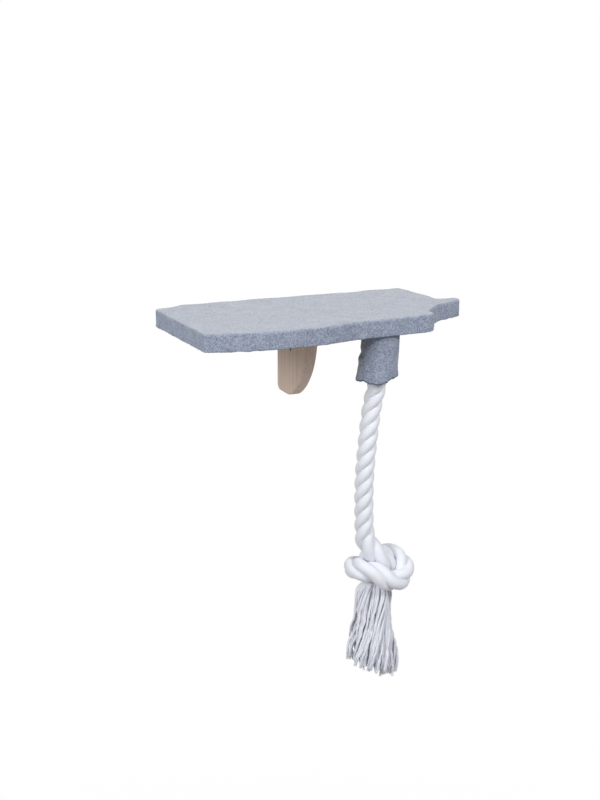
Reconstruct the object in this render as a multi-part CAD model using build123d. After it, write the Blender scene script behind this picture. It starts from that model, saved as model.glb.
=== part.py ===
from build123d import *
import os
from math import cos, radians, sin, tan

os.makedirs("parts", exist_ok=True)

# All sizes are millimetres. X runs along the wall, +Y into the wall and +Z up.
# The origin is on the wall's face, midway between the two wall screws.

# Platform board, with its outline as shares of its length and depth from the middle of its back edge
board_length = 362.0
board_depth = 186.0
board_thickness = 16.0
lobe_corner_r = 11.5
notch_r = 4.0
tab_corner_r = 4.0
tab_back_r = 4.5
back_bend_r = 12.0
back_corner_r = 5.0
left_front_share = (-0.449, 0.908)
front_bulge_share = (-0.207, 0.998)
front_end_share = (0.055, 0.926)
lobe_share = (0.357, 0.886)
lobe_notch_share = (0.350, 0.780)
tab_root_share = (0.431, 0.608)
tab_tip_front_share = (0.537, 0.510)
tab_tip_back_share = (0.542, 0.457)
tab_back_share = (0.466, 0.436)
shoulder_share = (0.470, 0.267)
shoulder_mid_share = (0.458, 0.154)
back_right_share = (0.434, 0.0)
back_left_share = (-0.365, 0.0)
left_step_share = (-0.402, 0.042)
left_back_share = (-0.467, 0.070)

# Plush cover, turned in under the board and stapled
plush_thickness = 2.4
plush_rim_share = 0.85
turned_margin = 15.0
margin_relief = 1.0
staple_inset = 7.5
staple_count = 30
staple_crown = 10.0
staple_wire = 0.7
staple_width = 1.2
staple_leg = 8.0

# Steel angle brackets and their screws
wall_hole_spacing = 170.0
wall_hole_r = 2.75
wall_hole_drop = 18.0
bracket_leg = 30.0
bracket_width = 20.0
bracket_steel = 2.0
bracket_bend_r = 3.0
bracket_corner_r = 4.0
bracket_screw_first = 11.0
bracket_screw_pitch = 11.0
bracket_screw_hole_r = 2.0
bracket_screw_r = 1.75
bracket_screw_pilot_r = 1.3
bracket_screw_length = 13.0
bracket_screw_head_r = 3.4
bracket_screw_head_height = 1.9

# Solid wood gusset under the middle, standing against the wall
gusset_thickness = 16.0
gusset_depth = 94.0
gusset_height = 99.0
gusset_edge_r = 3.0
gusset_heel_r = 9.0
gusset_toe_r = 30.0
gusset_front_end_share = 0.26
gusset_belly_share = (0.805, 0.69)
gusset_toe_share = 0.39

# Stud that joins gusset and board, locked by a set screw from the left
stud_r = 4.0
stud_clearance = 0.05
stud_wall_distance = 45.5
stud_in_gusset = 48.0
stud_point = 1.0
set_screw_drop = 38.2
set_screw_r = 2.4
set_screw_hex = 2.5
set_screw_hex_depth = 2.4
set_screw_sunk = 0.4
dowel_r = 4.0
dowel_length = 30.0
dowel_wall_distance = 72.0
dowel_in_board = 11.0
dowel_spare = 1.0
dowel_bevel = 0.8

# Tee nuts let into the board's top
tee_flange_r = 9.5
tee_flange_height = 1.5
tee_barrel_r = 4.9
tee_barrel_length = 11.0
tee_prong_length = 5.0
tee_prong_width = 3.0
tee_prong_thickness = 1.2
tee_prong_circle_r = 7.6
tee_prong_count = 4

# Short post that holds the rope, inset from the board's front edge, with its plush sleeve
post_x = 65.0
post_inset = 42.4
post_r = 20.0
post_length = 46.0
socket_clearance = 0.15
socket_depth = 26.0
mouth_depth = 9.0
mouth_flare = 3.4
sleeve_thickness = 2.4
sleeve_hem_drop = 57.0
sleeve_hem_flare = 2.4
sleeve_flare_from_share = 0.55
hem_rise_right_share = 0.13
hem_rise_back_share = 0.22
hanger_bolt_in_post = 18.0
hanger_bolt_wood_r = 3.6
hanger_bolt_pilot_r = 3.0
bolt_point = 3.0
rope_pin_r = 1.25
rope_pin_drop = 25.0
rope_pin_sunk = 0.4

# Rope: the swing joints are two ball seats, one in the socket's mouth and one under it
rope_r = 11.0
seat_clearance = 0.3
seat_rim = 5.0
pivot_rise = 4.0
pivot_pitch = 13.0
knot_rope_r = 9.7
arc_share = 0.45
view_turn = -22.5

# The rope's route in millimetres: right along its own swing plane, out towards the room, and up
rope_route = [
    (0.0, 0.0, -37.0),
    (-1.0, 0.0, -52.0),
    (-6.8, 0.3, -76.0),
    (-11.2, 1.4, -101.0),
    (-14.0, 2.0, -131.0),
    (-16.2, 1.2, -159.0),
    (-16.8, -0.2, -193.0),
    (-16.0, -2.2, -227.0),
]
# The overhand knot's route, from its own middle
knot_middle = (1.0, 4.0, -279.0)
knot_split_share = 0.6
knot_route = [
    (-15.6, -8.0, 36.0),
    (-6.4, -7.3, 20.6),
    (9.3, -8.0, 4.9),
    (13.3, -18.0, -7.9),
    (4.0, -34.0, -13.0),
    (-12.1, -39.2, -12.0),
    (-29.0, -28.4, -6.2),
    (-31.1, -9.1, -0.1),
    (-21.0, 7.0, 2.0),
    (-2.0, 11.0, -4.0),
    (19.0, 8.0, -13.0),
    (33.0, -7.0, -9.0),
    (32.0, -21.0, 7.0),
    (17.0, -31.1, 17.1),
    (0.2, -32.9, 16.9),
    (-9.7, -26.7, 9.2),
    (-9.0, -15.7, -4.8),
    (-4.8, -9.4, -16.0),
    (-4.6, -8.6, -23.0),
]

# Tassel of loose yarn, with its sections as shares of these four sizes, in this order
tassel_foot_drop = 133.0
tassel_lean = 5.5
tassel_half_width = 31.0
tassel_half_depth = 21.0
tassel_section_shares = [
    (0.235, 0.88, 0.55, 0.62),
    (0.31, 1.00, 0.68, 0.76),
    (0.61, 1.00, 0.82, 0.87),
    (0.86, 0.95, 1.00, 0.96),
    (1.00, 0.87, 1.00, 1.00),
]
tassel_clumps = 9
tassel_groove_share = 0.86

overrun = 5.0

board_bottom = wall_hole_drop
board_top = board_bottom + board_thickness
cover_bottom = board_bottom - plush_thickness
post_y = post_inset - plush_thickness - board_depth
post_bottom = board_bottom - post_length
upper_pivot = post_bottom + pivot_rise
lower_pivot = upper_pivot - pivot_pitch
socket_r = rope_r + socket_clearance
socket_top = post_bottom + socket_depth


def board_point(shares):
    along, out = shares
    return Vector(along * board_length, -plush_thickness - out * board_depth)


def round_corner(face, corner, radius):
    nearest = min(face.vertices(), key=lambda v: (Vector(v.X, v.Y) - corner).length)
    return fillet(nearest, radius)


def board_outline():
    front = ThreePointArc(
        board_point(left_front_share),
        board_point(front_bulge_share),
        board_point(front_end_share),
    )
    right = Polyline(
        board_point(front_end_share),
        board_point(lobe_share),
        board_point(lobe_notch_share),
        board_point(tab_root_share),
        board_point(tab_tip_front_share),
        board_point(tab_tip_back_share),
        board_point(tab_back_share),
        board_point(shoulder_share),
    )
    shoulder = ThreePointArc(
        board_point(shoulder_share),
        board_point(shoulder_mid_share),
        board_point(back_right_share),
    )
    left = Polyline(
        board_point(back_right_share),
        board_point(back_left_share),
        board_point(left_step_share),
        board_point(left_back_share),
        board_point(left_front_share),
    )
    face = make_face(Curve() + [front, right, shoulder, left])
    for shares, radius in (
        (lobe_share, lobe_corner_r),
        (lobe_notch_share, notch_r),
        (tab_root_share, notch_r),
        (tab_tip_front_share, tab_corner_r),
        (tab_tip_back_share, tab_back_r),
        (tab_back_share, notch_r),
        (back_left_share, back_bend_r),
        (left_step_share, back_bend_r),
        (left_back_share, back_corner_r),
    ):
        face = round_corner(face, board_point(shares), radius)
    return face


outline = board_outline()
staple_line = offset(outline, -staple_inset, kind=Kind.ARC).face().outer_wire()
bracket_places = [-wall_hole_spacing / 2, wall_hole_spacing / 2]
bracket_screw_places = [
    (x, -bracket_screw_first - row * bracket_screw_pitch)
    for x in bracket_places
    for row in range(2)
]


def upright(radius, bottom, height, x=0, y=0):
    rod = Cylinder(radius, height, align=(Align.CENTER, Align.CENTER, Align.MIN))
    return Pos(x, y, bottom) * rod


def lying(radius, start, length, y, z):
    rod = Cylinder(radius, length, align=(Align.CENTER, Align.CENTER, Align.MIN))
    return Pos(start, y, z) * Rot(0, 90, 0) * rod


def dome(radius):
    return Sphere(radius, arc_size1=0, align=(Align.CENTER, Align.CENTER, Align.MIN))


def block(x_span, y_span, z_span):
    size = [high - low for low, high in (x_span, y_span, z_span)]
    box = Box(*size, align=(Align.MIN, Align.MIN, Align.MIN))
    return Pos(x_span[0], y_span[0], z_span[0]) * box


# Places where each tee nut sits: over the gusset's stud and over the rope post
tee_places = [(0, -stud_wall_distance), (post_x, post_y)]


def tee_hole(x, y):
    flange = upright(tee_flange_r, board_top - tee_flange_height, tee_flange_height, x, y)
    return flange + upright(tee_barrel_r, board_bottom - overrun, board_thickness + overrun, x, y)


def tee_nut(x, y):
    under_flange = board_top - tee_flange_height
    nut = upright(tee_flange_r, under_flange, tee_flange_height, x, y)
    nut += upright(tee_barrel_r, under_flange - tee_barrel_length, tee_barrel_length, x, y)
    for turn in range(tee_prong_count):
        prong = block(
            (tee_prong_circle_r - tee_prong_thickness / 2, tee_prong_circle_r + tee_prong_thickness / 2),
            (-tee_prong_width / 2, tee_prong_width / 2),
            (under_flange - tee_prong_length, under_flange),
        )
        nut += Pos(x, y, 0) * Rot(0, 0, turn * 360 / tee_prong_count) * prong
    thread = upright(stud_r, board_bottom, board_thickness + overrun, x, y)
    return nut - thread


def platform_board():
    board = Pos(0, 0, board_bottom) * extrude(outline, board_thickness)
    for x, y in tee_places:
        board -= tee_hole(x, y)
    board -= upright(dowel_r, board_bottom - overrun, dowel_in_board + dowel_spare / 2 + overrun, 0, -dowel_wall_distance)
    for x, y in bracket_screw_places:
        board -= upright(bracket_screw_pilot_r, board_bottom - overrun, bracket_screw_length - bracket_steel + overrun, x, y)
    return board


def plush_cover():
    skin_height = board_thickness + 2 * plush_thickness
    skin = extrude(offset(outline, plush_thickness, kind=Kind.ARC), skin_height)
    rim_r = plush_rim_share * plush_thickness
    skin = fillet(skin.edges().group_by(Axis.Z)[-1], rim_r)
    skin = fillet(skin.edges().group_by(Axis.Z)[0], rim_r)
    cover = Pos(0, 0, cover_bottom) * skin
    cover -= Pos(0, 0, board_bottom) * extrude(outline, board_thickness)
    window = extrude(offset(outline, -turned_margin, kind=Kind.ARC), plush_thickness + overrun)
    cover -= Pos(0, 0, cover_bottom - overrun) * window
    relief_depth = turned_margin + plush_thickness + overrun
    below = (cover_bottom - overrun, board_bottom)
    gusset_relief = gusset_thickness / 2 + margin_relief
    cover -= block((-gusset_relief, gusset_relief), (-relief_depth, overrun), below)
    bracket_relief = bracket_width / 2 + margin_relief
    for x in bracket_places:
        cover -= block((x - bracket_relief, x + bracket_relief), (-relief_depth, overrun), below)
    post_relief = post_r + sleeve_thickness + margin_relief
    cover -= upright(post_relief, cover_bottom - overrun, plush_thickness + overrun, post_x, post_y)
    return cover


def clear_of_hardware(point):
    nearest = min(abs(point.X - x) for x in [0] + bracket_places)
    at_back = point.Y > -turned_margin - plush_thickness
    spare = staple_crown / 2 + margin_relief
    off_post = (point - Vector(post_x, post_y)).length > post_r + sleeve_thickness + spare
    return off_post and (not at_back or nearest > bracket_width / 2 + spare)


def cover_staples():
    staples = []
    for number in range(staple_count):
        share = (number + 1 / 2) / staple_count
        place = staple_line.position_at(share)
        if not clear_of_hardware(place):
            continue
        along = staple_line.tangent_at(share)
        heading = Vector(1, 0, 0).get_signed_angle(along, Vector(0, 0, 1))
        crown = block(
            (-staple_crown / 2, staple_crown / 2),
            (-staple_width / 2, staple_width / 2),
            (-staple_wire, 0),
        )
        for side in (-1, 1):
            middle = side * (staple_crown - staple_wire) / 2
            crown += block(
                (middle - staple_wire / 2, middle + staple_wire / 2),
                (-staple_width / 2, staple_width / 2),
                (-staple_wire, staple_leg),
            )
        staples.append(Pos(place.X, place.Y, cover_bottom) * Rot(0, 0, heading) * crown)
    return Compound(staples)


def wall_bracket(x):
    inner_bend_r = bracket_bend_r - bracket_steel / 2
    outer = Polyline((0, 0), (-bracket_leg, 0), (-bracket_leg, -bracket_steel))
    inner = FilletPolyline(
        (-bracket_leg, -bracket_steel),
        (-bracket_steel, -bracket_steel),
        (-bracket_steel, -bracket_leg),
        radius=inner_bend_r,
    )
    back = Polyline((-bracket_steel, -bracket_leg), (0, -bracket_leg), (0, 0))
    profile = make_face(Plane.YZ * (Curve() + [outer, inner, back]))
    angle = extrude(profile, bracket_width / 2, dir=(1, 0, 0), both=True)
    angle = Pos(x, 0, board_bottom) * angle
    heel = angle.edges().filter_by(Axis.X).sort_by(lambda e: e.center().Y + e.center().Z)[-1]
    angle = fillet(heel, inner_bend_r)
    ends = angle.edges().filter_by(Axis.Y).sort_by(Axis.Z)[0:2]
    angle = fillet(ends, bracket_corner_r)
    tips = angle.edges().filter_by(Axis.Z).sort_by(Axis.Y)[0:2]
    angle = fillet(tips, bracket_corner_r)
    hole = Cylinder(wall_hole_r, bracket_steel + 2 * overrun)
    angle -= Pos(x, -bracket_steel / 2, 0) * Rot(90, 0, 0) * hole
    for screw_x, screw_y in bracket_screw_places:
        angle -= upright(bracket_screw_hole_r, board_bottom - bracket_leg / 2, bracket_leg, screw_x, screw_y)
    return angle


def bracket_screws():
    screws = []
    under_steel = board_bottom - bracket_steel
    for x, y in bracket_screw_places:
        head = upright(bracket_screw_head_r, under_steel - bracket_screw_head_height, bracket_screw_head_height, x, y)
        head = fillet(head.edges().filter_by(GeomType.CIRCLE).sort_by(Axis.Z)[0], bracket_screw_head_height / 2)
        shank_length = bracket_screw_length - 2 * bracket_screw_r
        shank = upright(bracket_screw_r, under_steel, shank_length, x, y)
        point = Cone(bracket_screw_r, bracket_screw_r / 4, 2 * bracket_screw_r)
        point = Pos(x, y, under_steel + shank_length + bracket_screw_r) * point
        screws.append(head + shank + point)
    return Compound(screws)


def support_gusset():
    front_end = (-gusset_depth, -gusset_front_end_share * gusset_height)
    belly = (-gusset_belly_share[0] * gusset_depth, -gusset_belly_share[1] * gusset_height)
    toe = (-gusset_toe_share * gusset_depth, -gusset_height)
    lines = [
        Polyline((0, 0), (-gusset_depth, 0), front_end),
        ThreePointArc(front_end, belly, toe),
        Polyline(toe, (0, -gusset_height), (0, 0)),
    ]
    profile = make_face(Curve() + lines)
    profile = round_corner(profile, Vector(0, -gusset_height), gusset_heel_r)
    profile = round_corner(profile, Vector(*toe), gusset_toe_r)
    wood = extrude(Plane.YZ * profile, gusset_thickness / 2, dir=(1, 0, 0), both=True)
    rounded = [
        edge
        for side in (wood.faces().sort_by(Axis.X)[0], wood.faces().sort_by(Axis.X)[-1])
        for edge in side.edges()
        if edge.center().Z < -gusset_edge_r
    ]
    wood = fillet(rounded, gusset_edge_r)
    wood = Pos(0, 0, board_bottom) * wood
    stud_hole_depth = stud_in_gusset + stud_point
    wood -= upright(stud_r, board_bottom - stud_hole_depth, stud_hole_depth + overrun, 0, -stud_wall_distance)
    dowel_hole_depth = dowel_length - dowel_in_board + dowel_spare / 2
    wood -= upright(dowel_r, board_bottom - dowel_hole_depth, dowel_hole_depth + overrun, 0, -dowel_wall_distance)
    set_screw_z = board_bottom - set_screw_drop
    wood -= lying(set_screw_r, -gusset_thickness / 2 - overrun, gusset_thickness / 2 + overrun, -stud_wall_distance, set_screw_z)
    return wood


def gusset_stud():
    top = board_top - tee_flange_height
    bottom = board_bottom - stud_in_gusset
    stud = upright(stud_r - stud_clearance, bottom, top - bottom, 0, -stud_wall_distance)
    return chamfer(stud.edges().filter_by(GeomType.CIRCLE), stud_point)


def gusset_set_screw():
    z = board_bottom - set_screw_drop
    start = -gusset_thickness / 2 + set_screw_sunk
    length = gusset_thickness / 2 - set_screw_sunk - stud_r
    screw = lying(set_screw_r, start, length, -stud_wall_distance, z)
    hexagon = extrude(RegularPolygon(set_screw_hex / 2, 6, major_radius=False), set_screw_hex_depth)
    return screw - Pos(start, -stud_wall_distance, z) * Rot(0, 90, 0) * hexagon


def gusset_dowel():
    bottom = board_bottom - dowel_length + dowel_in_board
    peg = upright(dowel_r, bottom, dowel_length, 0, -dowel_wall_distance)
    return chamfer(peg.edges().filter_by(GeomType.CIRCLE), dowel_bevel)


def rope_post_core():
    core = upright(post_r, post_bottom, post_length)
    core -= upright(socket_r, post_bottom - overrun, socket_depth + overrun)
    mouth = Cone(socket_r + mouth_flare, socket_r, mouth_depth, align=(Align.CENTER, Align.CENTER, Align.MIN))
    core -= Pos(0, 0, post_bottom) * mouth
    core -= upright(hanger_bolt_pilot_r, board_bottom - hanger_bolt_in_post, hanger_bolt_in_post + overrun)
    core -= lying(rope_pin_r, -post_r - overrun, post_r + overrun + socket_r, 0, board_bottom - rope_pin_drop)
    return Pos(post_x, post_y, 0) * core


def post_sleeve():
    hem_bottom = board_bottom - sleeve_hem_drop
    lowest = hem_bottom - (hem_rise_right_share + hem_rise_back_share) * post_r - overrun
    flare_from = board_bottom - sleeve_flare_from_share * sleeve_hem_drop
    outside = post_r + sleeve_thickness
    wall = Polyline(
        (post_r, board_bottom),
        (outside, board_bottom),
        (outside, flare_from),
        (outside + sleeve_hem_flare, lowest),
        (post_r + sleeve_hem_flare, lowest),
        (post_r, flare_from),
        close=True,
    )
    sleeve = revolve(make_face(Plane.XZ * wall), Axis.Z)
    tilt = Vector(-hem_rise_right_share, -hem_rise_back_share, 1)
    hem_plane = Plane(origin=(0, 0, hem_bottom), z_dir=tilt)
    sleeve = split(sleeve, hem_plane, keep=Keep.TOP)
    return Pos(post_x, post_y, 0) * Rot(0, 0, view_turn) * sleeve


def post_hanger_bolt():
    top = board_top - tee_flange_height
    machine = upright(stud_r - stud_clearance, board_bottom, top - board_bottom)
    wood_part = upright(hanger_bolt_wood_r, board_bottom - hanger_bolt_in_post + bolt_point, hanger_bolt_in_post - bolt_point)
    point = Cone(hanger_bolt_wood_r / 4, hanger_bolt_wood_r, bolt_point, align=(Align.CENTER, Align.CENTER, Align.MIN))
    point = Pos(0, 0, board_bottom - hanger_bolt_in_post) * point
    return Pos(post_x, post_y, 0) * (machine + wood_part + point)


def rope_anchor():
    plug = upright(rope_r, upper_pivot + seat_rim, socket_top - upper_pivot - seat_rim)
    plug -= Pos(0, 0, upper_pivot) * Sphere(rope_r + seat_clearance)
    plug -= lying(rope_pin_r, -post_r, 2 * post_r, 0, board_bottom - rope_pin_drop)
    return Pos(post_x, post_y, 0) * plug


def rope_pin():
    z = board_bottom - rope_pin_drop
    start = -post_r + rope_pin_sunk
    return Pos(post_x, post_y, 0) * lying(rope_pin_r, start, rope_r - start, 0, z)


def rope_root():
    rim = lower_pivot + seat_rim
    stub = upright(rope_r, rim, upper_pivot - rim)
    stub -= Pos(0, 0, lower_pivot) * Sphere(rope_r + seat_clearance)
    return Pos(post_x, post_y, 0) * (Pos(0, 0, upper_pivot) * dome(rope_r) + stub)


def hang(point):
    right, out, up = point
    turn = radians(view_turn)
    return Vector(
        post_x + right * cos(turn) + out * sin(turn),
        post_y + right * sin(turn) - out * cos(turn),
        up,
    )


def corner_radii(points):
    radii = []
    for before, corner, after in zip(points, points[1:], points[2:]):
        run_in = corner - before
        run_out = after - corner
        shorter = min(run_in.length, run_out.length)
        turn = radians(run_in.get_angle(run_out))
        radii.append(arc_share * shorter / tan(turn / 2))
    return radii


def tube(points, radius, name):
    radii = corner_radii(points)
    path = FilletPolyline(*points, radius=radii)
    start = Plane(origin=points[0], z_dir=points[1] - points[0])
    solid = sweep(start * Circle(radius), path=path)
    print(name, "length", round(path.length, 1), "radii", [round(r, 1) for r in radii])
    print(name, "volume over section times length", round(solid.volume / (Circle(radius).area * path.length), 4))
    return solid, path


knot_points = [hang([a + b for a, b in zip(knot_middle, point)]) for point in knot_route]
rope_points = [hang(point) for point in rope_route]
knot_start = rope_points[-1] + (knot_points[0] - rope_points[-1]) * knot_split_share


def rope():
    solid, path = tube(rope_points + [knot_start], rope_r, "rope")
    first = Plane(origin=rope_points[0], z_dir=rope_points[0] - rope_points[1])
    return solid + first * dome(rope_r)


def least_gap(path, radius):
    steps = int(path.length / (radius / 4))
    spots = [path.position_at(step / steps) for step in range(steps + 1)]
    apart = int(4 * radius / (path.length / steps))
    gaps = [
        (spots[i] - spots[j]).length
        for i in range(len(spots))
        for j in range(i + apart, len(spots))
    ]
    return min(gaps) - 2 * radius


def rope_knot():
    solid, path = tube([knot_start] + knot_points, knot_rope_r, "knot")
    print("knot least gap to itself", round(least_gap(path, knot_rope_r), 2))
    return solid


def clump_ring(half_width, half_depth):
    step = 360 / tassel_clumps
    arcs = []
    for number in range(tassel_clumps):
        corners = []
        for turn, share in (
            (number, tassel_groove_share),
            (number + 1 / 2, 1),
            (number + 1, tassel_groove_share),
        ):
            angle = radians(turn * step)
            corners.append((half_width * share * cos(angle), half_depth * share * sin(angle)))
        arcs.append(ThreePointArc(*corners))
    return make_face(Curve() + arcs)


def rope_tassel():
    end, before = knot_points[-1], knot_points[-2]
    right_of_rope = hang((1, 0, 0)) - hang((0, 0, 0))
    right, out, up = knot_middle
    out += knot_route[-1][1]
    top = Plane(origin=end, x_dir=right_of_rope, z_dir=before - end)
    sections = [top * clump_ring(knot_rope_r, knot_rope_r)]
    for drop_share, lean_share, width_share, depth_share in tassel_section_shares:
        middle = hang((right - lean_share * tassel_lean, out, up - drop_share * tassel_foot_drop))
        level = Plane(origin=middle, x_dir=right_of_rope, z_dir=(0, 0, 1))
        sections.append(level * clump_ring(width_share * tassel_half_width, depth_share * tassel_half_depth))
    return loft(sections, ruled=True)


pieces = {
    "platform_board": platform_board(),
    "plush_cover": plush_cover(),
    "cover_staples": cover_staples(),
    "left_wall_bracket": wall_bracket(bracket_places[0]),
    "right_wall_bracket": wall_bracket(bracket_places[1]),
    "bracket_screws": bracket_screws(),
    "support_gusset": support_gusset(),
    "gusset_stud": gusset_stud(),
    "gusset_set_screw": gusset_set_screw(),
    "gusset_dowel": gusset_dowel(),
    "tee_nuts": Compound([tee_nut(x, y) for x, y in tee_places]),
    "rope_post_core": rope_post_core(),
    "post_sleeve": post_sleeve(),
    "post_hanger_bolt": post_hanger_bolt(),
    "rope_anchor": rope_anchor(),
    "rope_pin": rope_pin(),
    "rope_root": rope_root(),
    "rope": rope(),
    "rope_knot": rope_knot(),
    "rope_tassel": rope_tassel(),
}
for name, piece in pieces.items():
    export_step(piece, f"parts/{name}.step")
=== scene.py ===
import math

import bpy
import numpy as np
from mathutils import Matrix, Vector, kdtree


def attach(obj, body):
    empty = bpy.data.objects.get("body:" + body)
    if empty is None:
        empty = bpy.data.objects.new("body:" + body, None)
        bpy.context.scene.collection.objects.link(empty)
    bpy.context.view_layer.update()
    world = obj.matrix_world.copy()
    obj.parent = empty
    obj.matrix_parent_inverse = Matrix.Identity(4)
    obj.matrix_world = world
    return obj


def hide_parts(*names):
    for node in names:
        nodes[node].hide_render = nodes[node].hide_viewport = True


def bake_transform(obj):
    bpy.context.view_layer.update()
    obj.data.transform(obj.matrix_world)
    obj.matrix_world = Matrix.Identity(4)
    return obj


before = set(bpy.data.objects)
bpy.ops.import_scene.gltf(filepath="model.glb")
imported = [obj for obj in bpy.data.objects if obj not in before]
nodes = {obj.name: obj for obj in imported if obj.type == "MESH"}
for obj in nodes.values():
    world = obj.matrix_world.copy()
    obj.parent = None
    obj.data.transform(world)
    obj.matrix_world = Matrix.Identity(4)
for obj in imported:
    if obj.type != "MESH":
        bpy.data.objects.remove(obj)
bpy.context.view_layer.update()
print("frame loaded:", len(nodes), "nodes")

# Everything is in metres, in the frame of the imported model: X along the wall, +Y into it, +Z up
camera = {
    "turn": -22.5,       # degrees round to the left of the platform's middle
    "height": 14.4,      # degrees above the horizon
    "distance": 2.0,
    "lookAt": (-0.0205, -0.1062, -0.0692),
    "lens": 75.0,
}
post = {
    "x": 0.065,
    "y": -0.146,
    "turn": -22.5,       # the rope's own plane, square to the view
    "coreR": 0.020,
    "coreBottom": -0.028,
    "top": 0.018,
}


def placeCamera():
    turn = math.radians(camera["turn"])
    height = math.radians(camera["height"])
    back = Vector((
        math.sin(turn) * math.cos(height),
        -math.cos(turn) * math.cos(height),
        math.sin(height),
    ))
    eye = bpy.data.objects.new("photoCamera", bpy.data.cameras.new("photoCamera"))
    eye.data.lens = camera["lens"]
    eye.location = Vector(camera["lookAt"]) + back * camera["distance"]
    eye.rotation_euler = (-back).to_track_quat("-Z", "Y").to_euler()
    bpy.context.scene.collection.objects.link(eye)
    bpy.context.scene.camera = eye


placeCamera()
print("camera placed")


# helpers for materials: a Wire is a value on its way through a material's nodes
class Wire:
    def __init__(self, finish, output):
        self.finish = finish
        self.output = output

    def maths(self, operation, *values):
        return self.finish.node("ShaderNodeMath", {"operation": operation}, dict(enumerate(values)))

    def __add__(self, other):
        return self.maths("ADD", self, other)

    def __radd__(self, other):
        return self.maths("ADD", other, self)

    def __sub__(self, other):
        return self.maths("SUBTRACT", self, other)

    def __rsub__(self, other):
        return self.maths("SUBTRACT", other, self)

    def __mul__(self, other):
        return self.maths("MULTIPLY", self, other)

    def __rmul__(self, other):
        return self.maths("MULTIPLY", other, self)

    def clamped(self):
        return self.maths("MINIMUM", self.maths("MAXIMUM", self, 0.0), 1.0)


class Finish:
    def __init__(self, name, tree=None, **constants):
        if tree is None:
            self.material = bpy.data.materials.new(name)
            self.material.use_nodes = True
            tree = self.material.node_tree
        self.tree = tree
        self.shader = tree.nodes.get("Principled BSDF")
        for socket, value in constants.items():
            self.shader.inputs[socket.replace("_", " ")].default_value = value

    def join(self, value, socket):
        if isinstance(value, Wire):
            self.tree.links.new(value.output, socket)
        else:
            socket.default_value = value

    def node(self, kind, settings=None, sockets=None, out=0):
        made = self.tree.nodes.new(kind)
        for key, value in (settings or {}).items():
            setattr(made, key, value)
        for key, value in (sockets or {}).items():
            self.join(value, made.inputs[key])
        return Wire(self, made.outputs[out])

    def place(self, scale=(1.0, 1.0, 1.0), turn=(0.0, 0.0, 0.0)):
        here = self.node("ShaderNodeTexCoord", out=3)
        return self.node("ShaderNodeMapping", sockets={
            "Vector": here, "Scale": scale, "Rotation": turn})

    def grain(self, place, scale, detail=3.0, roughness=0.55, distortion=0.0):
        return self.node("ShaderNodeTexNoise", sockets={
            "Vector": place, "Scale": scale, "Detail": detail,
            "Roughness": roughness, "Distortion": distortion,
        })

    def blend(self, share, first, second):
        return self.node(
            "ShaderNodeMix", {"data_type": "RGBA"}, {0: share, 6: first, 7: second}, out=2)

    def spread(self, value, low, high):
        return self.node("ShaderNodeMapRange", sockets={
            "Value": value, "From Min": low, "From Max": high, "To Min": 0.0, "To Max": 1.0})

    def upDown(self):
        # the up and down part of the way the surface faces, -1 to 1
        facing = self.node("ShaderNodeNewGeometry", out=1)
        return self.node("ShaderNodeSeparateXYZ", sockets={0: facing}, out=2)

    def mark(self, name):
        # a value that the mesh carries at its points
        return self.node("ShaderNodeAttribute", {"attribute_name": name}, out=2)

    def relief(self, height, strength, distance, over=None):
        sockets = {"Height": height, "Strength": strength, "Distance": distance}
        if over is not None:
            sockets["Normal"] = over
        return self.node("ShaderNodeBump", sockets=sockets)

    def paint(self, **wires):
        for socket, value in wires.items():
            self.join(value, self.shader.inputs[socket.replace("_", " ")])
        return self.material


def colour(red, green, blue):
    return (red, green, blue, 1.0)


# finishes
plushLook = {
    "dark": colour(0.135, 0.163, 0.238),
    "pale": colour(0.405, 0.452, 0.560),
    "paintedTopDark": colour(0.205, 0.228, 0.282),    # painted light: the flat top is drawn lighter and greyer than the sides
    "paintedTopPale": colour(0.425, 0.452, 0.512),
    # hem: drawn along the hem's rim and just inside it, and as painted shade in the sleeve's fold
    "hem": colour(0.085, 0.105, 0.150),
    "tufts": 400.0,         # noise scales
    "specks": 1040.0,
    "patches": 60.0,
    "tuftShare": 0.34,      # how much each noise adds to the mottle
    "speckShare": 0.54,
    "patchShare": 0.12,
    "mottle": (0.41, 0.59),
    "paintedTopShare": 0.85,
    "paintedTopTilt": (0.3, 0.95),
    "relief": 0.5,
    "tuftDepth": 0.0014,
    "speckDepth": 0.0006,
}


def plushFinish():
    finish = Finish("plushPile", Roughness=0.95, Sheen_Weight=0.30, Sheen_Roughness=0.45)
    here = finish.place()
    tufts = finish.grain(here, plushLook["tufts"], detail=5.0, roughness=0.68)
    specks = finish.grain(here, plushLook["specks"], roughness=0.6)
    patches = finish.grain(here, plushLook["patches"], detail=5.0, roughness=0.6)
    mixed = tufts * plushLook["tuftShare"] + specks * plushLook["speckShare"]
    mottle = finish.spread(mixed + patches * plushLook["patchShare"], *plushLook["mottle"])
    pile = finish.blend(mottle, plushLook["dark"], plushLook["pale"])
    # painted light: faces that look up are blended towards the lighter, greyer top colours
    upward = finish.spread(finish.upDown(), *plushLook["paintedTopTilt"])
    crown = finish.blend(mottle, plushLook["paintedTopDark"], plushLook["paintedTopPale"])
    pile = finish.blend(upward.clamped() * plushLook["paintedTopShare"], pile, crown)
    # the hem mark darkens the pile along the hem's rim and just inside it, and paints shade into
    # the sleeve's fold
    base = finish.blend(finish.mark("hem"), pile, plushLook["hem"])
    coarse = finish.relief(tufts, plushLook["relief"], plushLook["tuftDepth"])
    fine = finish.relief(specks, plushLook["relief"], plushLook["speckDepth"], over=coarse)
    return finish.paint(Base_Color=base, Normal=fine)


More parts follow.
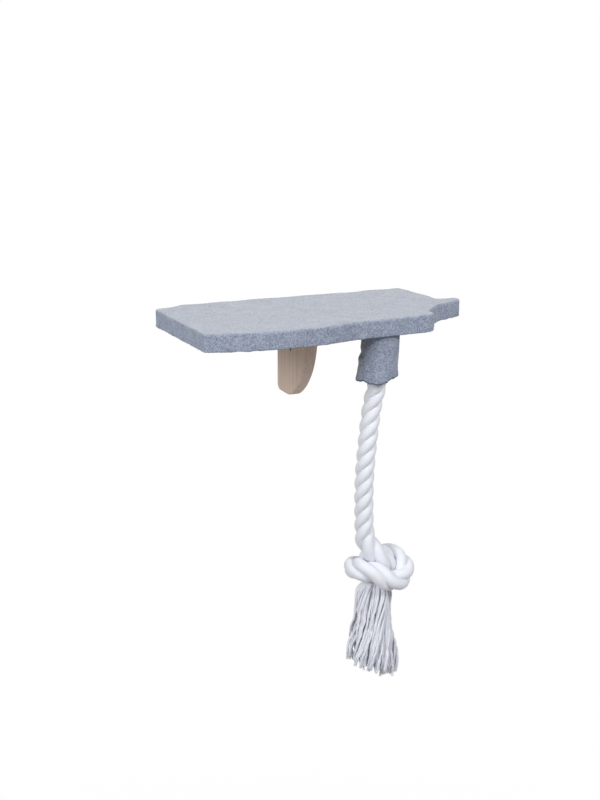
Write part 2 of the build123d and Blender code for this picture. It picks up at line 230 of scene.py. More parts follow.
woodLook = {
    "early": colour(0.775, 0.617, 0.516),
    "late": colour(0.529, 0.390, 0.312),
    "pore": colour(0.380, 0.270, 0.210),
    "grey": colour(0.700, 0.610, 0.545),
    "postEarly": colour(0.60, 0.48, 0.34),
    "postLate": colour(0.44, 0.32, 0.20),
    "dowelEarly": colour(0.62, 0.50, 0.34),
    "dowelLate": colour(0.48, 0.35, 0.21),
    "squeeze": 0.022,       # every pattern is drawn out along the grain
    "poreSqueeze": 0.07,
    "streaks": 130.0,       # noise scales
    "lines": 460.0,
    "fibres": 1700.0,
    "pores": 1500.0,
    "cloud": 26.0,
    "streakSpan": (0.34, 0.66),      # the part of each noise that is used
    "lineSpan": (0.36, 0.64),
    "poreSpan": (0.64, 0.78),
    "streakShare": 0.42,    # how much each noise adds to the late wood
    "lineShare": 0.34,
    "fibreShare": 0.20,
    "poreShare": 0.5,
    "relief": 0.35,
    "depth": 0.0003,
    "roughness": (0.52, 0.22),       # its least, and what the fibres add
}


def woodFinish(name, early, late, greyed=0.35):
    # straight grain, upright
    finish = Finish(name, Roughness=0.62, Specular_IOR_Level=0.35)
    here = finish.place(scale=(1.0, 1.0, woodLook["squeeze"]))
    there = finish.place(scale=(1.0, 1.0, woodLook["poreSqueeze"]))
    streaks = finish.grain(here, woodLook["streaks"])
    streaks = finish.spread(streaks, *woodLook["streakSpan"])
    lines = finish.grain(here, woodLook["lines"], roughness=0.6)
    lines = finish.spread(lines, *woodLook["lineSpan"])
    fibres = finish.grain(here, woodLook["fibres"], detail=2.0, roughness=0.6)
    pores = finish.grain(there, woodLook["pores"], detail=1.0)
    pores = finish.spread(pores, *woodLook["poreSpan"])
    cloud = finish.grain(finish.place(), woodLook["cloud"], detail=2.0)
    lateShare = streaks * woodLook["streakShare"] + lines * woodLook["lineShare"]
    lateShare = (lateShare + fibres * woodLook["fibreShare"]).clamped()
    base = finish.blend(lateShare, early, late)
    base = finish.blend(pores * woodLook["poreShare"], base, woodLook["pore"])
    base = finish.blend(cloud * greyed, base, woodLook["grey"])
    bump = finish.relief(lines * 0.35 + fibres * 0.65, woodLook["relief"], woodLook["depth"])
    least, rougher = woodLook["roughness"]
    return finish.paint(Base_Color=base, Normal=bump, Roughness=least + fibres * rougher)


plywoodLook = {
    "veneerPale": colour(0.62, 0.49, 0.34),
    "veneerDark": colour(0.47, 0.34, 0.21),
    "edgeDark": colour(0.42, 0.29, 0.17),
    "edgePale": colour(0.60, 0.47, 0.31),
    "squeeze": 0.05,        # the veneer's grain runs along the wall
    "rings": 60.0,          # noise scales
    "bands": 22.0,
    "fibres": 800.0,
    "layers": 175.0,
    "bandShare": 0.5,       # how much each adds to the dark veneer
    "fibreShare": 0.4,
    "faceTilt": (0.5, 0.8),
    "relief": 0.4,
    "depth": 0.0003,
}


def plywoodFinish():
    finish = Finish("plywoodVeneer", Roughness=0.7)
    here = finish.place(scale=(plywoodLook["squeeze"], 1.0, 1.0))
    rings = finish.grain(here, plywoodLook["rings"], distortion=0.6)
    bands = finish.spread(rings.maths("SINE", rings * plywoodLook["bands"]), -1.0, 1.0)
    fibres = finish.grain(here, plywoodLook["fibres"], detail=2.0)
    darker = bands * plywoodLook["bandShare"] + fibres * plywoodLook["fibreShare"]
    veneer = finish.blend(darker, plywoodLook["veneerPale"], plywoodLook["veneerDark"])
    layers = finish.node("ShaderNodeTexWave", {"bands_direction": "Z"}, {
        "Vector": finish.place(), "Scale": plywoodLook["layers"], "Distortion": 0.4})
    core = finish.blend(layers, plywoodLook["edgeDark"], plywoodLook["edgePale"])
    upDown = finish.upDown()
    flat = finish.spread(upDown.maths("ABSOLUTE", upDown), *plywoodLook["faceTilt"])
    base = finish.blend(flat, core, veneer)
    bump = finish.relief(fibres, plywoodLook["relief"], plywoodLook["depth"])
    return finish.paint(Base_Color=base, Normal=bump)


steelLook = {
    "bracket": (0.66, 0.67, 0.69),
    "screw": (0.60, 0.60, 0.61),
    "staple": (0.70, 0.70, 0.70),
    "darker": 0.72,         # the dull places, as a share of the tint
    "squeeze": 0.04,
    "brush": 1600.0,        # noise scales
    "spangle": 260.0,
    "dull": 70.0,
    "darkShare": 0.35,      # how much each of the last two darkens
    "relief": 0.25,
    "depth": 0.0001,
    "rougher": 0.22,
}


def steelFinish(name, tint, rough=0.34):
    finish = Finish(name, Metallic=1.0)
    along = finish.place(scale=(steelLook["squeeze"], 1.0, 1.0))
    brushed = finish.grain(along, steelLook["brush"], detail=2.0)
    spangle = finish.node("ShaderNodeTexVoronoi", sockets={
        "Vector": finish.place(), "Scale": steelLook["spangle"]})
    dull = finish.grain(finish.place(), steelLook["dull"])
    shaded = colour(*[steelLook["darker"] * part for part in tint])
    share = spangle * steelLook["darkShare"] + dull * steelLook["darkShare"]
    base = finish.blend(share, colour(*tint), shaded)
    bump = finish.relief(brushed, steelLook["relief"], steelLook["depth"])
    roughness = rough + dull * steelLook["rougher"]
    return finish.paint(Base_Color=base, Normal=bump, Roughness=roughness)


oxideLook = {
    "dark": colour(0.012, 0.012, 0.014),
    "pale": colour(0.045, 0.043, 0.043),
    "dull": 300.0,
    "roughness": (0.42, 0.2),        # its least, and what the dull places add
}


def blackScrewFinish():
    finish = Finish("blackOxide", Metallic=0.9)
    dull = finish.grain(finish.place(), oxideLook["dull"])
    base = finish.blend(dull, oxideLook["dark"], oxideLook["pale"])
    least, rougher = oxideLook["roughness"]
    return finish.paint(Base_Color=base, Roughness=least + dull * rougher)


cottonLook = {
    "pale": colour(0.785, 0.805, 0.860),
    "paintedGrooveShade": colour(0.700, 0.726, 0.795),
    "yarnPale": colour(0.890, 0.905, 0.965),
    "yarnPaintedShade": colour(0.720, 0.750, 0.845),
    "fibres": 1500.0,       # noise scales
    "cloud": 90.0,
    "paintedShadeShare": 0.7,     # how much each adds to the darker colour: the crease mark as painted shade, the noises as random tone
    "fibreShare": 0.28,
    "cloudShare": 0.12,
    "fibreDepth": 0.0005,
}


def cottonFinish(name, pale, dark, relief):
    finish = Finish(name, Roughness=0.9, Sheen_Weight=0.10, Sheen_Roughness=0.5)
    here = finish.place()
    fibres = finish.grain(here, cottonLook["fibres"], roughness=0.65)
    cloud = finish.grain(here, cottonLook["cloud"], detail=2.0)
    # the crease mark is painted shade, in the rope's grooves and in the middle of the tassel's
    # clumps
    shade = finish.mark("crease") * cottonLook["paintedShadeShare"] + fibres * cottonLook["fibreShare"]
    shade = (shade + cloud * cottonLook["cloudShare"]).clamped()
    base = finish.blend(shade, pale, dark)
    bump = finish.relief(fibres, relief, cottonLook["fibreDepth"])
    return finish.paint(Base_Color=base, Normal=bump)


finishes = {
    "plush": plushFinish(),
    "gusset": woodFinish("gussetTimber", woodLook["early"], woodLook["late"]),
    "postWood": woodFinish("postTimber", woodLook["postEarly"], woodLook["postLate"], 0.15),
    "dowel": woodFinish("dowelTimber", woodLook["dowelEarly"], woodLook["dowelLate"], 0.1),
    "plywood": plywoodFinish(),
    "bracket": steelFinish("bracketZinc", steelLook["bracket"]),
    "screw": steelFinish("screwZinc", steelLook["screw"], 0.28),
    "staple": steelFinish("stapleWire", steelLook["staple"], 0.25),
    "setScrew": blackScrewFinish(),
    "cotton": cottonFinish("ropeCotton", cottonLook["pale"], cottonLook["paintedGrooveShade"], 0.35),
    "yarn": cottonFinish("tasselCotton", cottonLook["yarnPale"], cottonLook["yarnPaintedShade"], 0.45),
}
nodeFinishes = {
    "platform_board": "plywood",
    "support_gusset": "gusset",
    "rope_post_core": "postWood",
    "gusset_dowel": "dowel",
    "left_wall_bracket": "bracket",
    "right_wall_bracket": "bracket",
    "bracket_screws": "screw",
    "gusset_stud": "screw",
    "tee_nuts": "bracket",
    "post_hanger_bolt": "screw",
    "rope_pin": "screw",
    "gusset_set_screw": "setScrew",
    "cover_staples": "staple",
}
for nodeName, finishName in nodeFinishes.items():
    nodes[nodeName].data.materials.clear()
    nodes[nodeName].data.materials.append(finishes[finishName])
print("finishes made:", len(finishes))


# helpers for meshes
def swell(points, size, seed, waves=16):
    # a smooth random height, about -1 to 1, with hills of that size
    pick = np.random.default_rng(seed)
    heading = pick.normal(size=(waves, 3))
    heading /= np.linalg.norm(heading, axis=1)[:, None]
    heading *= pick.uniform(0.6, 1.7, waves)[:, None]
    phase = pick.uniform(0, 2 * math.pi, waves)
    return np.sin(points @ heading.T * (2 * math.pi / size) + phase).sum(1) / math.sqrt(waves)


def newPiece(name, points, faces, finish, marks=None):
    mesh = bpy.data.meshes.new(name)
    mesh.from_pydata([tuple(p) for p in points], [], faces)
    mesh.validate()
    mesh.polygons.foreach_set("use_smooth", [True] * len(mesh.polygons))
    mesh.materials.append(finishes[finish])
    for mark, values in (marks or {}).items():
        layer = mesh.attributes.new(mark, "FLOAT", "POINT")
        layer.data.foreach_set("value", np.asarray(values, np.float32))
    piece = bpy.data.objects.new(name, mesh)
    bpy.context.scene.collection.objects.link(piece)
    return piece


def ringFaces(rings, around, start=0):
    faces = []
    for ring in range(rings - 1):
        for step in range(around):
            a = start + ring * around + step
            b = start + ring * around + (step + 1) % around
            faces.append((a, b, b + around, a + around))
    return faces


def smoothStep(value, low, high):
    share = np.clip((value - low) / (high - low), 0, 1)
    return share * share * (3 - 2 * share)


# plush cover
cover = {
    "voxel": 0.0011,
    "softening": 3,
    "topHills": (0.00045, 0.055),    # height and size
    "sideHills": (0.00018, 0.020),
    "pleats": (0.00022, 0.012),
    "pile": (0.00011, 0.0024),
    "quilting": 0.0009,      # how far the plush swells between staples
    "stapleReach": 0.007,
    "topTurn": (0.032, 0.035),       # heights between which the top turns into the side
    "underTurn": (0.017, 0.020),
    "crownHeight": 0.0156,   # a staple's crown lies below this
}


def applied(piece):
    bpy.context.view_layer.update()
    finished = piece.evaluated_get(bpy.context.evaluated_depsgraph_get())
    mesh = bpy.data.meshes.new_from_object(finished)
    piece.modifiers.clear()
    piece.data = mesh


def readPoints(mesh, what="co"):
    flat = np.zeros(len(mesh.vertices) * 3, np.float32)
    if what == "co":
        mesh.vertices.foreach_get("co", flat)
    else:
        mesh.vertex_normals.foreach_get("vector", flat)
    return flat.reshape(-1, 3).astype(float)


def makeCover():
    mesh = nodes["plush_cover"].data.copy()
    mesh.name = "softCover"
    piece = bpy.data.objects.new("softCover", mesh)
    bpy.context.scene.collection.objects.link(piece)
    remesh = piece.modifiers.new("evenMesh", "REMESH")
    remesh.mode = "VOXEL"
    remesh.voxel_size = cover["voxel"]
    soften = piece.modifiers.new("soften", "SMOOTH")
    soften.iterations = cover["softening"]
    soften.factor = 0.5
    applied(piece)
    mesh = piece.data
    points = readPoints(mesh)
    out = readPoints(mesh, "normal")
    top = smoothStep(points[:, 2], *cover["topTurn"])
    under = 1 - smoothStep(points[:, 2], *cover["underTurn"])
    side = (1 - top) * (1 - under)
    high, size = cover["topHills"]
    lift = high * top * swell(points, size, 11)
    high, size = cover["sideHills"]
    lift += high * side * swell(points * (1, 1, 0.4), size, 12)
    high, size = cover["pleats"]
    lift += high * under * swell(points * (1, 1, 0.2), size, 13)
    high, size = cover["pile"]
    lift += high * swell(points, size, 14, waves=40)
    staples = readPoints(nodes["cover_staples"].data)
    crowns = staples[staples[:, 2] < cover["crownHeight"]]
    tree = kdtree.KDTree(len(crowns))
    for number, crown in enumerate(crowns):
        tree.insert(crown, number)
    tree.balance()
    facingDown = np.nonzero((out[:, 2] < -0.3) & (points[:, 2] < cover["underTurn"][0]))[0]
    away = np.array([tree.find(points[index])[2] for index in facingDown])
    pinch = smoothStep(away, 0, cover["stapleReach"])
    lift[facingDown] = lift[facingDown] * pinch + cover["quilting"] * pinch
    points += out * lift[:, None]
    mesh.vertices.foreach_set("co", points.astype(np.float32).ravel())
    mesh.attributes.new("hem", "FLOAT", "POINT")
    mesh.polygons.foreach_set("use_smooth", [True] * len(mesh.polygons))
    mesh.materials.clear()
    mesh.materials.append(finishes["plush"])
    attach(piece, "shelf")
    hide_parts("plush_cover")
    return piece


softCover = makeCover()
print("plush cover made:", len(softCover.data.vertices), "points")


# plush sleeve of the post
sleeve = {
    "around": 176,
    "rings": 64,
    "thickness": 0.0024,
    "topR": 0.0222,
    "hemR": 0.0245,
    "topShift": 0.0020,      # to the right, in the rope's own plane
    "hemShift": -0.0024,
    "hemDrop": 0.0575,
    "hemTurns": [0, 20, 45, 62, 78, 92, 106, 122, 138, 160, 180, 225, 270, 315, 360],
    "hemLower": [-0.0026, -0.0038, -0.0020, 0.0008, 0.0032, 0.0042, 0.0036, 0.0014,
                 0.0003, 0.0016, 0.0030, 0.0020, -0.0010, -0.0022, -0.0026],
    "creaseDrop": 0.0275,    # the crease on the left, below the board
    "creaseDepth": 0.0016,
    "creaseSize": 0.0045,
    "creaseSpread": 0.75,
    "hills": (0.00045, 0.017),       # height and size
    "pile": (0.00012, 0.0022),
    "hemWaves": (0.0004, 0.012),
    "hemNicks": (0.00035, 0.0035),
    "corner": 0.0013,        # the hem stands out at its left and right
    "cornerFrom": 0.86,
    "foldShade": 0.8,        # how dark the painted shade in the crease is, and how far it runs round
    "foldSpread": 0.55,
    "hemTurnUp": 7,          # rings round the hem's edge
    "hold": 0.0009,          # how far the plush stands off the wood core, outside and inside
    "lining": 0.0001,
}


def sidewards(right, out, up):
    # from the rope's own plane (right, out towards the room, up) to the frame
    turn = math.radians(post["turn"])
    return np.stack([
        post["x"] + right * math.cos(turn) + out * math.sin(turn),
        post["y"] + right * math.sin(turn) - out * math.cos(turn),
        up + 0 * right,
    ], axis=-1)


def sleeveWall(drop, angle, share, inner):
    radius = sleeve["topR"] + (sleeve["hemR"] - sleeve["topR"]) * share
    shift = sleeve["topShift"] + (sleeve["hemShift"] - sleeve["topShift"]) * share
    left = np.exp(-((np.abs(angle - math.pi) / sleeve["creaseSpread"]) ** 2))
    below = (drop - sleeve["creaseDrop"]) / sleeve["creaseSize"]
    crease = -sleeve["creaseDepth"] * left * np.exp(-(below ** 2))
    crease += sleeve["creaseDepth"] * 0.8 * left * np.exp(-((below - 1.6) ** 2))
    corner = np.exp(-(((angle - math.pi) / 0.28) ** 2))
    corner += 0.7 * np.exp(-(((angle - 0.15) / 0.22) ** 2))
    corner *= sleeve["corner"] * smoothStep(share, sleeve["cornerFrom"], 1.0)
    radius = radius + crease + corner
    right = radius * np.cos(angle) + shift
    out = radius * np.sin(angle)
    spots = np.stack([right, out, -drop], axis=-1)
    high, size = sleeve["hills"]
    hills = high * (0.3 + share) * swell(spots * (1, 1, 0.5), size, 21)
    high, size = sleeve["pile"]
    fuzz = high * swell(spots, size, 22, waves=40)
    reach = np.hypot(right, out) + hills + (0 if inner else fuzz)
    heading = np.arctan2(out, right)
    held = post["top"] - drop > post["coreBottom"] - 0.001
    reach = np.maximum(reach, np.where(held, post["coreR"] + sleeve["hold"], 0.0))
    if inner:
        least = np.where(held, post["coreR"] + sleeve["lining"], 0.0)
        reach = np.maximum(reach - sleeve["thickness"], least)
    return reach * np.cos(heading), reach * np.sin(heading)


def makeSleeve():
    angles = np.arange(sleeve["around"]) * 2 * math.pi / sleeve["around"]
    hem = sleeve["hemDrop"] + np.interp(np.degrees(angles), sleeve["hemTurns"], sleeve["hemLower"])
    spots = np.stack([np.cos(angles), np.sin(angles), 0 * angles], axis=-1) * sleeve["hemR"]
    waves, nicks = sleeve["hemWaves"], sleeve["hemNicks"]
    hem += waves[0] * swell(spots, waves[1], 23) + nicks[0] * swell(spots, nicks[1], 24)
    rows, marks = [], []
    for share in np.linspace(0, 1, sleeve["rings"]):
        drop = hem * share
        right, out = sleeveWall(drop, angles, share + 0 * angles, False)
        rows.append(sidewards(right, out, post["top"] - drop))
        # painted shade: the pile is darkened in the crease on the left, below the board, carried by
        # the hem mark
        paintedFold = np.exp(-(((drop - sleeve["creaseDrop"]) / sleeve["creaseSize"] - 0.75) ** 2) * 4)
        reach = np.exp(-((np.abs(angles - math.pi * 0.93) / sleeve["foldSpread"]) ** 2))
        paintedFold = sleeve["foldShade"] * paintedFold * reach
        marks.append(np.maximum(np.clip((share - 0.975) / 0.02, 0, 1), paintedFold))
    outerRight, outerOut = sleeveWall(hem, angles, 1 + 0 * angles, False)
    innerRight, innerOut = sleeveWall(hem, angles, 1 + 0 * angles, True)
    for turn in np.linspace(20, 160, sleeve["hemTurnUp"]):  # the rounded hem
        share = (1 - math.cos(math.radians(turn))) / 2
        dip = math.sin(math.radians(turn)) * sleeve["thickness"] * 0.5
        rows.append(sidewards(
            outerRight + (innerRight - outerRight) * share,
            outerOut + (innerOut - outerOut) * share,
            post["top"] - hem - dip))
        marks.append(1 + 0 * angles)
    for share in np.linspace(1, 0.02, sleeve["rings"] // 2):
        drop = hem * share
        right, out = sleeveWall(drop, angles, share + 0 * angles, True)
        rows.append(sidewards(right, out, post["top"] - drop))
        marks.append(np.clip((share - 0.95) / 0.04, 0, 1) + 0 * angles)
    points = np.concatenate(rows)
    faces = ringFaces(len(rows), sleeve["around"])
    piece = newPiece("softSleeve", points, faces, "plush", {"hem": np.concatenate(marks)})
    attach(piece, "shelf")
    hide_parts("post_sleeve")


makeSleeve()
print("plush sleeve made")


# rope: one route for the neck, the hanging part and the knot, as in the source
rope = {
    "outerR": 0.0119,
    "strandR": 0.0066,
    "knotOuterR": 0.0137,
    "knotStrandR": 0.0076,
    "lay": 0.054,            # length of one turn of a strand
    "knotLay": 0.084,        # the knot opens the lay
    "layStart": 2.1,
    "step": 0.001,
    "around": 40,
    "yarns": 13,
    "yarnRelief": 0.00013,
    "yarnLay": 0.034,
    "splitShare": 0.6,
    "contact": 0.0002,
    "apart": 0.026,          # places nearer than this along the rope don't press on each other
    "anchorHeights": (-0.0185, -0.0120, -0.0025),
    "anchorOuterR": 0.0109,
    "anchorStrandR": 0.0057,
    "anchorAround": 24,
}
neckRoute = [
    (0.0, 0.0, -0.0205),
    (0.0, 0.0, -0.0290),
]
ropeRoute = [
    (0.0, 0.0, -0.037),
    (-0.0030, 0.0, -0.052),
    (-0.0083, 0.0003, -0.076),
    (-0.0112, 0.0014, -0.101),
    (-0.014, 0.002, -0.131),
    (-0.0162, 0.0012, -0.159),
    (-0.0168, -0.0002, -0.193),
    (-0.016, -0.0022, -0.227),
]
knotMiddle = (0.001, 0.004, -0.279)
knotRoute = [
    (-0.0156, -0.008, 0.034),
    (-0.0064, -0.0073, 0.0186),
    (0.0093, -0.008, 0.0029),
    (0.0133, -0.018, -0.0099),
    (0.004, -0.034, -0.015),
    (-0.0116, -0.0392, -0.015),
    (-0.0272, -0.0284, -0.0096),
    (-0.0294, -0.0091, -0.0035),
    (-0.0205, 0.007, -0.0010),
    (-0.003, 0.011, -0.0025),
    (0.017, 0.009, -0.0175),
    (0.033, -0.007, -0.0135),
    (0.032, -0.021, 0.0),
    (0.017, -0.0311, 0.0070),
    (0.0002, -0.0329, 0.0075),
    (-0.0097, -0.0267, 0.004),
    (-0.009, -0.0157, -0.0075),
    (-0.0048, -0.0094, -0.0175),
    (-0.0046, -0.0086, -0.0245),
]


def routeLine(points):
    curve = bpy.data.curves.new("ropeRoute", "CURVE")
    curve.dimensions = "3D"
    curve.resolution_u = 24
    spline = curve.splines.new("NURBS")
    spline.points.add(len(points) - 1)
    for knob, place in zip(spline.points, points):
        knob.co = (*place, 1.0)
    spline.order_u = 3
    spline.use_endpoint_u = True
    holder = bpy.data.objects.new("ropeRoute", curve)
    line = readPoints(bpy.data.meshes.new_from_object(holder))
    bpy.data.objects.remove(holder)
    return line


def evenly(line, step):
    reach = np.concatenate([[0], np.cumsum(np.linalg.norm(np.diff(line, axis=0), axis=1))])
    count = max(3, int(round(reach[-1] / step)) + 1)
    marks = np.linspace(0, reach[-1], count)
    return np.stack([np.interp(marks, reach, line[:, k]) for k in range(3)], axis=-1), marks


def carriedFrames(line):
    # two directions across the line that never twist round it
    along = np.gradient(line, axis=0)
    along /= np.linalg.norm(along, axis=1)[:, None]
    first = np.cross(along[0], (0.3, 1.0, 0.1))
    first /= np.linalg.norm(first)
    across = [first]
    for heading in along[1:]:
        side = across[-1] - heading * (across[-1] @ heading)
        across.append(side / np.linalg.norm(side))
    across = np.array(across)
    return across, np.cross(along, across)


def ringsRound(middle, radius, across, other, sweep):
    return middle[:, None, :] + radius[..., None] * (
        np.cos(sweep)[None, :, None] * across[:, None, :]
        + np.sin(sweep)[None, :, None] * other[:, None, :])


def strandTubes(line, marks, outerR, strandR, around, tight=0.0):
    # three strands laid round the line, as points by strand, place and step round it
    across, other = carriedFrames(line)
    tubes = []
    perMetre = 2 * math.pi * ((1 - tight) / rope["lay"] + tight / rope["knotLay"]) + 0 * marks
    turn = rope["layStart"] + np.cumsum(perMetre * np.gradient(marks))
    sweep = np.arange(around) * 2 * math.pi / around
    yarnTurn = marks * 2 * math.pi / rope["yarnLay"]
    offset = (outerR - strandR)[:, None]
    for strand in range(3):
        lay = turn + strand * 2 * math.pi / 3
        middle = line + offset * (np.cos(lay)[:, None] * across + np.sin(lay)[:, None] * other)
        heading = np.gradient(middle, axis=0)
        heading /= np.linalg.norm(heading, axis=1)[:, None]
        outward = middle - line
        outward -= heading * (outward * heading).sum(1)[:, None]
        outward /= np.linalg.norm(outward, axis=1)[:, None]
        side = np.cross(heading, outward)
        ridges = np.abs(np.sin(rope["yarns"] * (sweep[None, :] + yarnTurn[:, None]) / 2))
        radius = strandR[:, None] - rope["yarnRelief"] + rope["yarnRelief"] * ridges
        tubes.append(ringsRound(middle, radius, outward, side, sweep))
    return np.array(tubes)


def pressedApart(tubes, line, marks):
    # where the rope lies against itself, both sides are flattened on the plane midway between
    flat = tubes.reshape(3, len(line), -1, 3).copy()
    for here in range(len(line)):
        elsewhere = np.abs(marks - marks[here]) > rope["apart"]
        others = line[elsewhere]
        ring = flat[:, here].reshape(-1, 3)
        gap = ring[:, None, :] - others[None, :, :]
        nearest = np.argmin((gap ** 2).sum(-1), axis=1)
        partner = others[nearest]
        axis = partner - line[here]
        length = np.linalg.norm(axis, axis=1)
        axis /= length[:, None]
        past = ((ring - line[here]) * axis).sum(1) - (length / 2 - rope["contact"] / 2)
        ring -= axis * np.clip(past, 0, None)[:, None]
        flat[:, here] = ring.reshape(3, -1, 3)
    return flat


def grooveShadeOf(tubes, line, outerR):
    # painted shade: 0 on the crowns of the strands and 1 down in the grooves between them, where
    # shade falls
    depth = np.linalg.norm(tubes - line[None, :, None, :], axis=-1)
    return 1 - smoothStep(depth / outerR[None, :, None], 0.62, 0.92)


def tubeFaces(places, around, start):
    # the wall of one tube and its two ends
    last = start + (places - 1) * around
    return ringFaces(places, around, start) + [
        tuple(last + step for step in range(around)),
        tuple(start + step for step in reversed(range(around))),
    ]


def strandPiece(name, tubes, crease, finish):
    strands, places, around = tubes.shape[:3]
    faces = []
    for strand in range(strands):
        faces += tubeFaces(places, around, strand * places * around)
    return newPiece(name, tubes.reshape(-1, 3), faces, finish, {"crease": crease.reshape(-1)})


def makeRope():
    hung = [np.array(p) for p in neckRoute + ropeRoute]
    knotted = [np.array(p) + np.array(knotMiddle) for p in knotRoute]
    start = hung[-1] + (knotted[0] - hung[-1]) * rope["splitShare"]
    places = [sidewards(*p) for p in hung + [start] + knotted]
    line, marks = evenly(routeLine(places), rope["step"])
    split = int(np.argmin(np.linalg.norm(line - sidewards(*start), axis=1)))
    tight = smoothStep(marks, marks[split] - 0.02, marks[split] + 0.03)
    outerR = rope["outerR"] + (rope["knotOuterR"] - rope["outerR"]) * tight
    strandR = rope["strandR"] + (rope["knotStrandR"] - rope["strandR"]) * tight
    tubes = strandTubes(line, marks, outerR, strandR, rope["around"], tight)
    tubes = pressedApart(tubes, line, marks)
    crease = grooveShadeOf(tubes, line, outerR)
    piece = strandPiece("ropeStrands", tubes, crease, "cotton")
    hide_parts("rope_root", "rope", "rope_knot")
    return piece, line, marks, split


ropeStrands, ropeLine, ropeMarks, ropeSplit = makeRope()
print("rope and knot made:", round(ropeMarks[ropeSplit] * 1000), "mm hanging,",
      round((ropeMarks[-1] - ropeMarks[ropeSplit]) * 1000), "mm in the knot")


# the rope's glued end inside the post's socket
def makeAnchor():
    places = np.array([sidewards(0.0, 0.0, up) for up in rope["anchorHeights"]])
    line, marks = evenly(places, rope["step"])
    outerR = rope["anchorOuterR"] + 0 * marks
    strandR = rope["anchorStrandR"] + 0 * marks
    tubes = strandTubes(line, marks, outerR, strandR, rope["anchorAround"])
    piece = strandPiece("anchorStrands", tubes, grooveShadeOf(tubes, line, outerR), "cotton")
    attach(piece, "shelf")
    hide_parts("rope_anchor")


makeAnchor()
print("glued end made")


# tassel: the rope's own yarns, unlaid and combed down
tassel = {
    "clumps": [                # places across and out, as shares of the tassel's half sizes
        (-0.98, 0.10), (-0.66, 0.80), (-0.30, 0.95), (0.08, 1.00), (0.44, 0.90), (0.80, 0.62),
        (1.00, -0.10), (0.62, -0.80), (0.10, -0.95), (-0.50, -0.85), (-0.10, 0.05), (0.45, 0.10),
    ],
    "lengths": [
        -0.010, -0.009, -0.003, 0.0, -0.002, 0.009,
        0.007, 0.004, -0.002, -0.008, -0.003, 0.0,
    ],
    "yarnsPerClump": 18,
    "plies": 3,
    "plyR": 0.00074,
    "plyOffset": 0.00074,
    "plyLay": 0.011,
    "sides": 5,
    "step": 0.0016,
    "places": 60,
    "tuckedIn": 0.005,       # how far up inside the knot the yarns start
    "footDrop": 0.134,
    "uneven": (-0.003, 0.002),
    "shortEnds": 0.0015,
    "lean": -0.0003,
    "leanBy": 0.25,
    "levels": [0.0, 0.05, 0.12, 0.30, 0.50, 0.63, 0.80, 1.0],
    "widths": [0.0060, 0.0125, 0.0164, 0.0160, 0.0166, 0.0203, 0.0232, 0.0238],
    "depths": [0.0060, 0.0095, 0.0110, 0.0115, 0.0120, 0.0130, 0.0140, 0.0150],
    "clumpR": [0.0035, 0.0054, 0.0071, 0.0074, 0.0078, 0.0082, 0.0088, 0.0092],
    "clumpLay": 0.16,        # the yarns of a clump still turn round each other a little
    "clumpDepth": 0.9,
    "clumpShade": 0.45,      # painted shade: yarns in the middle of a clump are drawn darker
    "crimp": (0.0004, 0.015),        # height and size
    "crimpFrom": (0.012, 0.05),
    "bow": (0.0010, 0.09),           # how a whole clump wanders sideways
    "bowReach": 0.1,
    "fray": 0.02,            # length of the open end of a yarn
    "frayOpen": 0.7,
    "frayThin": 0.25,
    "seed": 9,
}


def eased(share, values):
    steps = np.interp(share, tassel["levels"], values)
    padded = np.concatenate([np.full(3, steps[0]), steps, np.full(3, steps[-1])])
    return np.convolve(padded, np.ones(7) / 7, "valid")


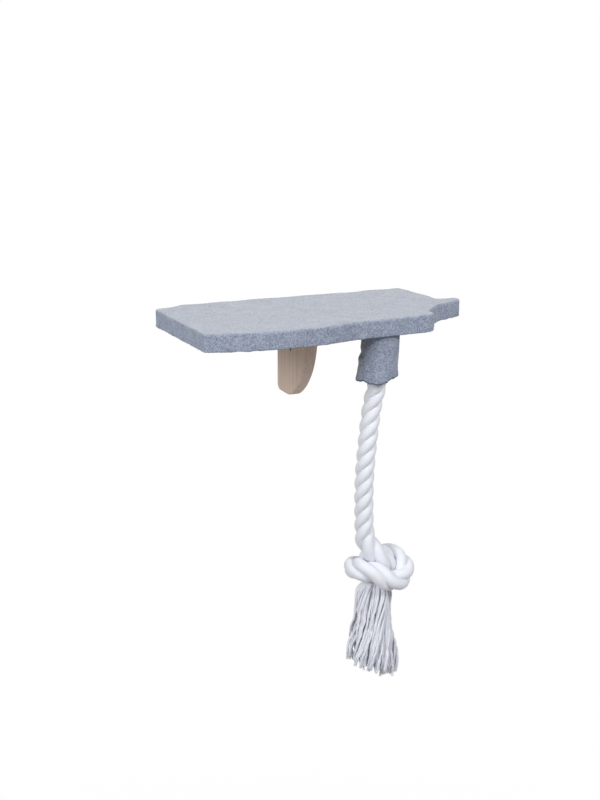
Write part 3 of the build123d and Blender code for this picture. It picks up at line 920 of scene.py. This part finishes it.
def makeTassel():
    pick = np.random.default_rng(tassel["seed"])
    heading = ropeLine[-1] - ropeLine[-4]
    heading /= np.linalg.norm(heading)
    share = np.linspace(0, 1, tassel["places"])
    wide, deep = eased(share, tassel["widths"]), eased(share, tassel["depths"])
    bundle = eased(share, tassel["clumpR"])
    lean = tassel["lean"] * smoothStep(share, 0, tassel["leanBy"])
    top = ropeLine[-1] - heading * tassel["tuckedIn"]
    rightOf = sidewards(1.0, 0.0, 0.0) - sidewards(0.0, 0.0, 0.0)
    outOf = sidewards(0.0, 1.0, 0.0) - sidewards(0.0, 0.0, 0.0)
    points, faces, crease = [], [], []
    begin = 0
    sides = tassel["sides"]
    sweep = np.arange(sides) * 2 * math.pi / sides
    for clump, (acrossShare, outShare) in enumerate(tassel["clumps"]):
        drop = top[2] - knotMiddle[2] + tassel["footDrop"] + tassel["lengths"][clump]
        high, size = tassel["bow"]
        spots = np.stack([share * tassel["bowReach"], 0 * share + clump, 0 * share], axis=-1)
        bow = high * swell(spots, size, 60 + clump)
        for _ in range(tassel["yarnsPerClump"]):
            around = pick.uniform(0, 2 * math.pi)
            inClump = math.sqrt(pick.uniform(0.02, 1))
            long = drop + pick.uniform(*tassel["uneven"]) - abs(pick.normal()) * tassel["shortEnds"]
            twist = around + share * long * 2 * math.pi / tassel["clumpLay"]
            right = acrossShare * wide + lean + bow + inClump * bundle * np.cos(twist)
            out = outShare * deep + inClump * bundle * tassel["clumpDepth"] * np.sin(twist)
            path = top + right[:, None] * rightOf + out[:, None] * outOf
            path[:, 2] -= long * share
            path, marks = evenly(path, tassel["step"])
            high, size = tassel["crimp"]
            loose = smoothStep(marks, *tassel["crimpFrom"])
            wobble = [swell(path + k, size, 100 + k + 3 * clump) for k in range(3)]
            path = path + np.stack(wobble, axis=-1) * (high * loose)[:, None]
            across, other = carriedFrames(path)
            firstTurn = pick.uniform(0, 2 * math.pi)
            frayed = smoothStep(marks, marks[-1] - tassel["fray"], marks[-1])
            spread = tassel["plyOffset"] * (1 + tassel["frayOpen"] * frayed)
            radius = tassel["plyR"] * (1 - tassel["frayThin"] * frayed)
            for ply in range(tassel["plies"]):
                lay = firstTurn + 2 * math.pi * (ply / tassel["plies"] - marks / tassel["plyLay"])
                middle = path + spread[:, None] * (
                    np.cos(lay)[:, None] * across + np.sin(lay)[:, None] * other)
                tube = ringsRound(middle, radius[:, None], across, other, sweep)
                points.append(tube.reshape(-1, 3))
                faces += tubeFaces(len(path), sides, begin)
                # painted shade, darker towards the middle of the clump
                shade = tassel["clumpShade"] * (1 - inClump)
                crease.append(np.full(len(path) * sides, shade))
                begin += len(path) * sides
    piece = newPiece(
        "tasselYarns", np.concatenate(points), faces, "yarn", {"crease": np.concatenate(crease)})
    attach(piece, "hanging_rope")
    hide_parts("rope_tassel")
    return piece


tasselYarns = makeTassel()
print("tassel made:", len(tasselYarns.data.vertices), "points")

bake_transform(ropeStrands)


# floor, world and lamps
light = {
    "floorHeight": -1.4,
    "floorSize": 120.0,
    "floorTone": colour(0.50, 0.50, 0.50),   # what the floor throws back on the object
    "seenTone": colour(0.95, 0.95, 0.95),
    "shadowShare": 0.12,     # how much of the floor's own shading is seen, near the object
    "shadowFade": (0.66, 1.76),      # distances between which it gives way to plain white
    "ambient": 0.34,
    "lamps": {               # place, size, power
        "keyRight": ((0.83, -2.02, 1.46), 0.60, 38.0),
        "fillLeft": ((-2.2, -1.0, 1.0), 1.0, 39.0),
        "overhead": ((0.0, -0.1, 2.2), 1.0, 9.0),
        "backFill": ((0.9, 2.3, 1.0), 1.2, 18.0),
    },
}


def seenShare(finish):
    # 1 for a ray from the camera, straight or by way of metal or glass, and 0 for other light
    direct, glossy, through = [finish.node("ShaderNodeLightPath", out=k) for k in (0, 3, 6)]
    return direct.maths("MAXIMUM", direct.maths("MAXIMUM", direct, glossy), through)


def makeFloor():
    half = light["floorSize"] / 2
    corners = [(-half, -half), (half, -half), (half, half), (-half, half)]
    mesh = bpy.data.meshes.new("paleFloor")
    mesh.from_pydata([(x, y, light["floorHeight"]) for x, y in corners], [], [(0, 1, 2, 3)])
    floor = bpy.data.objects.new("paleFloor", mesh)
    bpy.context.scene.collection.objects.link(floor)
    finish = Finish("paleFloor", Roughness=0.9)
    seen = seenShare(finish)
    finish.paint(Base_Color=finish.blend(seen, light["floorTone"], light["seenTone"]))
    here = finish.node("ShaderNodeTexCoord", out=3)
    away = finish.node("ShaderNodeVectorMath", {"operation": "DISTANCE"}, {
        0: here, 1: (0.0, 0.0, light["floorHeight"])}, out=1)
    near = 1 - finish.spread(away, *light["shadowFade"])
    glow = finish.node("ShaderNodeEmission", sockets={"Color": colour(1, 1, 1), "Strength": 1.0})
    share = seen * (1 - near * light["shadowShare"])
    mixed = finish.node("ShaderNodeMixShader", sockets={
        0: share, 1: Wire(finish, finish.shader.outputs[0]), 2: glow})
    finish.join(mixed, finish.tree.nodes["Material Output"].inputs[0])
    mesh.materials.append(finish.material)


def makeWorld():
    world = bpy.data.worlds.new("paleRoom")
    bpy.context.scene.world = world
    world.use_nodes = True
    air = Finish("paleRoom", tree=world.node_tree)
    strength = light["ambient"] + seenShare(air) * (1 - light["ambient"])
    air.join(strength, air.tree.nodes["Background"].inputs[1])
    air.join(colour(1, 1, 1), air.tree.nodes["Background"].inputs[0])


def hangLamps():
    for name, (place, size, power) in light["lamps"].items():
        lamp = bpy.data.lights.new(name, "AREA")
        lamp.size = size
        lamp.energy = power
        holder = bpy.data.objects.new(name, lamp)
        holder.location = place
        heading = Vector(camera["lookAt"]) - Vector(place)
        holder.rotation_euler = heading.to_track_quat("-Z", "Y").to_euler()
        bpy.context.scene.collection.objects.link(holder)


makeFloor()
makeWorld()
hangLamps()
bpy.context.scene.view_settings.view_transform = "Standard"
print("stage and lamps placed")
